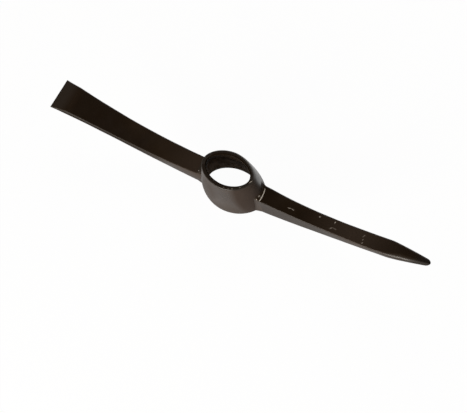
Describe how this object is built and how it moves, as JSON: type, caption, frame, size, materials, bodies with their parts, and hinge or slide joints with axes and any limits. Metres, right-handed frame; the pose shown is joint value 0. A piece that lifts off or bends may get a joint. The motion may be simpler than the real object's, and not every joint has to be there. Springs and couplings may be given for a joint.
{
  "type": "pick axe head",
  "caption": "Steel pick axe head with an oval tapered handle eye, a flat chisel arm and a pointed pick arm, both curving towards the handle.",
  "frame": {"origin": "on the axis of the handle eye, in the plane of its wide mouth, which is the face that the head lies on", "axes": "+X towards the point of the pick arm, -X towards the cutting edge, +Z along the eye from its wide mouth to its narrow rim, the way both arms curve"},
  "size_m": [0.501, 0.0656, 0.0673],
  "materials": {
    "lacquer": "glossy brown-black lacquer over forged steel",
    "weld_lacquer": "glossy brown-black lacquer over a weld bead"
  },
  "bodies": {
    "root": {"eye_collar": "lacquer", "chisel_arm": "lacquer", "pick_arm": "lacquer", "chisel_weld": "weld_lacquer", "pick_weld": "weld_lacquer"}
  },
  "joints": []
}
